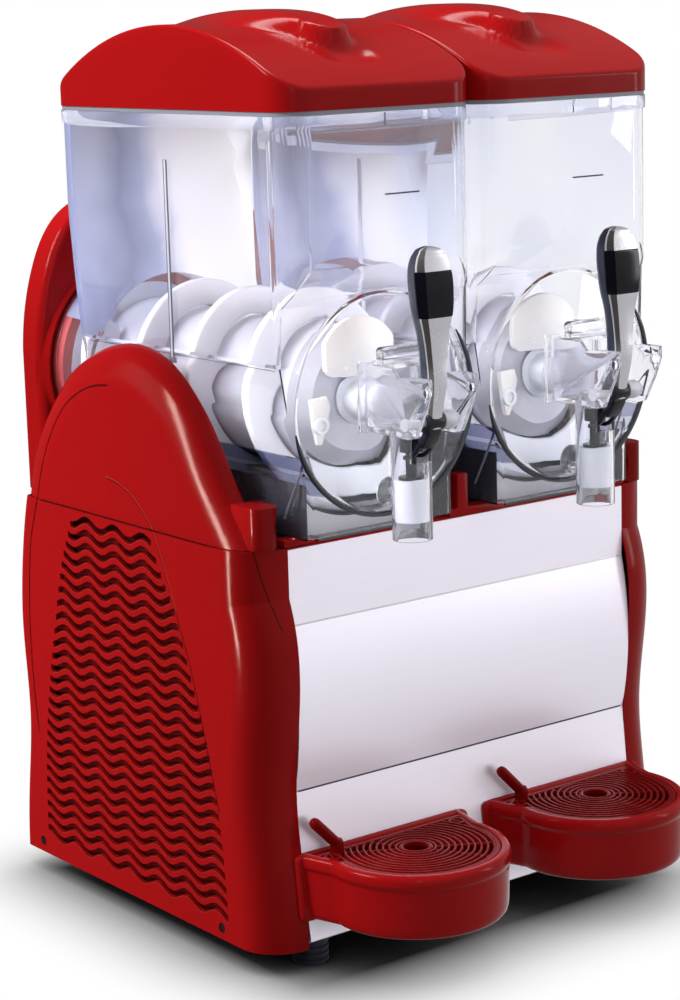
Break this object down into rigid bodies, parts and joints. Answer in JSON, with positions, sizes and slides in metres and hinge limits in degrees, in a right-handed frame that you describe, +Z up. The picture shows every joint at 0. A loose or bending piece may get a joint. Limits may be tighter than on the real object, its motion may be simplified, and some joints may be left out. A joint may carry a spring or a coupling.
{
  "type": "slush machine",
  "caption": "Countertop slush machine with clear bowls, turning augers, lever taps, drip trays and arched louvred side covers.",
  "frame": {"origin": "centre of the bounding box's bottom, on the surface the feet stand on", "axes": "+Z up, -Y to the front with the taps, +X to the right as seen from the front"},
  "size_m": [0.504, 0.566, 0.87],
  "materials": {
    "red_gloss": "deep candy red, polished moulded covers",
    "clear_bowl": "clear polycarbonate with a cool tint",
    "clear_tap": "clear moulded tap body",
    "brushed_steel": "stainless sheet brushed along its width",
    "cooling_steel": "satin stainless cooling cylinder",
    "frame_steel": "grey coated folded steel",
    "black_plastic": "dark satin deck and box",
    "switch_black": "black rocker caps",
    "white_plastic": "white food-grade nylon",
    "grey_seal": "grey lid seal",
    "red_seal": "red silicone bowl seal",
    "dark_rubber": "dark blue-black ribbed feet",
    "lever_chrome": "silver grip with a dark back and band",
    "piston_black": "black piston",
    "shaft_steel": "ground steel shaft",
    "motor_metal": "grey geared motor",
    "compressor_black": "black enamelled can",
    "fin_aluminium": "thin fins",
    "copper": "bare copper pipe",
    "tray_grey": "grey translucent condensate trays",
    "screw_steel": "screw heads"
  },
  "bodies": {
    "machine": {"base_pan": "frame_steel", "levelling_feet": "dark_rubber", "chassis_frame": "frame_steel", "rear_panel": "brushed_steel", "bowl_deck": "black_plastic", "deck_trim": "red_gloss", "condensate_trays": "tray_grey", "front_panel": "brushed_steel", "lower_front_panel": "brushed_steel", "rear_housing": "red_gloss", "panel_screws": "screw_steel", "control_box": "black_plastic", "cord_gland": "black_plastic", "compressor": "compressor_black", "condenser": "fin_aluminium", "fan_shroud": "frame_steel", "fan_motor": "motor_metal", "refrigerant_pipes": "copper", "right_louvre_panel": "red_gloss", "left_louvre_panel": "red_gloss", "right_arch_cover": "red_gloss", "left_arch_cover": "red_gloss", "left_evaporator": "cooling_steel", "left_bowl_gasket": "red_seal", "left_gearmotor": "motor_metal", "right_evaporator": "cooling_steel", "right_bowl_gasket": "red_seal", "right_gearmotor": "motor_metal"},
    "fan": {"fan_blade": "black_plastic"},
    "power_switch": {"power_rocker": "switch_black"},
    "left_bowl_switch": {"left_bowl_rocker": "switch_black"},
    "left_auger_set": {"left_auger": "white_plastic", "left_auger_nose": "white_plastic", "left_drive_shaft": "shaft_steel"},
    "left_bowl_set": {"left_bowl": "clear_bowl", "left_tap_body": "clear_tap", "left_lever_pin": "white_plastic", "left_tap_spring": "shaft_steel"},
    "left_lid_set": {"left_lid": "red_gloss", "left_lid_gasket": "grey_seal"},
    "left_lever": {"left_tap_lever": "lever_chrome"},
    "left_piston": {"left_tap_piston": "piston_black", "left_piston_sleeve": "white_plastic"},
    "left_tray": {"left_drip_tray": "red_gloss"},
    "left_grille": {"left_drip_grille": "red_gloss"},
    "right_bowl_switch": {"right_bowl_rocker": "switch_black"},
    "right_auger_set": {"right_auger": "white_plastic", "right_auger_nose": "white_plastic", "right_drive_shaft": "shaft_steel"},
    "right_bowl_set": {"right_bowl": "clear_bowl", "right_tap_body": "clear_tap", "right_lever_pin": "white_plastic", "right_tap_spring": "shaft_steel"},
    "right_lid_set": {"right_lid": "red_gloss", "right_lid_gasket": "grey_seal"},
    "right_lever": {"right_tap_lever": "lever_chrome"},
    "right_piston": {"right_tap_piston": "piston_black", "right_piston_sleeve": "white_plastic"},
    "right_tray": {"right_drip_tray": "red_gloss"},
    "right_grille": {"right_drip_grille": "red_gloss"}
  },
  "joints": [
    {"name": "fan_spin", "type": "hinge", "parent": "machine", "child": "fan", "pos_m": [-0.131, 0.06, 0.19], "axis": [1, 0, 0], "continuous": true},
    {"name": "power_switch_tilt", "type": "hinge", "parent": "machine", "child": "power_switch", "pos_m": [0.134, 0.232, 0.33], "axis": [1, 0, 0], "range_deg": [0, 16]},
    {"name": "left_bowl_switch_tilt", "type": "hinge", "parent": "machine", "child": "left_bowl_switch", "pos_m": [0.104, 0.232, 0.33], "axis": [1, 0, 0], "range_deg": [0, 16]},
    {"name": "left_auger_spin", "type": "hinge", "parent": "machine", "child": "left_auger_set", "pos_m": [-0.112, 0, 0.522], "axis": [0, 1, 0], "continuous": true},
    {"name": "left_bowl_slide", "type": "slide", "parent": "machine", "child": "left_bowl_set", "axis": [0, -1, 0], "range_m": [0, 0.4]},
    {"name": "left_lid_lift", "type": "slide", "parent": "left_bowl_set", "child": "left_lid_set", "axis": [0, 0, 1], "range_m": [0, 0.12]},
    {"name": "left_lever_pull", "type": "hinge", "parent": "left_bowl_set", "child": "left_lever", "pos_m": [-0.112, -0.228, 0.512], "axis": [1, 0, 0], "range_deg": [0, 25], "stiffness_Nm_per_rad": 0.8, "springref_deg": -34.38},
    {"name": "left_piston_rise", "type": "slide", "parent": "left_bowl_set", "child": "left_piston", "axis": [0, 0, 1], "range_m": [0, 0.0142]},
    {"name": "left_tray_lift", "type": "slide", "parent": "machine", "child": "left_tray", "axis": [0, 0, 1], "range_m": [0, 0.03]},
    {"name": "left_grille_lift", "type": "slide", "parent": "left_tray", "child": "left_grille", "axis": [0, 0, 1], "range_m": [0, 0.06]},
    {"name": "right_bowl_switch_tilt", "type": "hinge", "parent": "machine", "child": "right_bowl_switch", "pos_m": [0.164, 0.232, 0.33], "axis": [1, 0, 0], "range_deg": [0, 16]},
    {"name": "right_auger_spin", "type": "hinge", "parent": "machine", "child": "right_auger_set", "pos_m": [0.112, 0, 0.522], "axis": [0, 1, 0], "continuous": true},
    {"name": "right_bowl_slide", "type": "slide", "parent": "machine", "child": "right_bowl_set", "axis": [0, -1, 0], "range_m": [0, 0.4]},
    {"name": "right_lid_lift", "type": "slide", "parent": "right_bowl_set", "child": "right_lid_set", "axis": [0, 0, 1], "range_m": [0, 0.12]},
    {"name": "right_lever_pull", "type": "hinge", "parent": "right_bowl_set", "child": "right_lever", "pos_m": [0.112, -0.228, 0.512], "axis": [1, 0, 0], "range_deg": [0, 25], "stiffness_Nm_per_rad": 0.8, "springref_deg": -34.38},
    {"name": "right_piston_rise", "type": "slide", "parent": "right_bowl_set", "child": "right_piston", "axis": [0, 0, 1], "range_m": [0, 0.0142]},
    {"name": "right_tray_lift", "type": "slide", "parent": "machine", "child": "right_tray", "axis": [0, 0, 1], "range_m": [0, 0.03]},
    {"name": "right_grille_lift", "type": "slide", "parent": "right_tray", "child": "right_grille", "axis": [0, 0, 1], "range_m": [0, 0.06]}
  ],
  "couplings": [
    {"joint": "left_piston_rise", "follows": "left_lever_pull", "m_per_rad": 0.0325},
    {"joint": "right_piston_rise", "follows": "right_lever_pull", "m_per_rad": 0.0325}
  ]
}
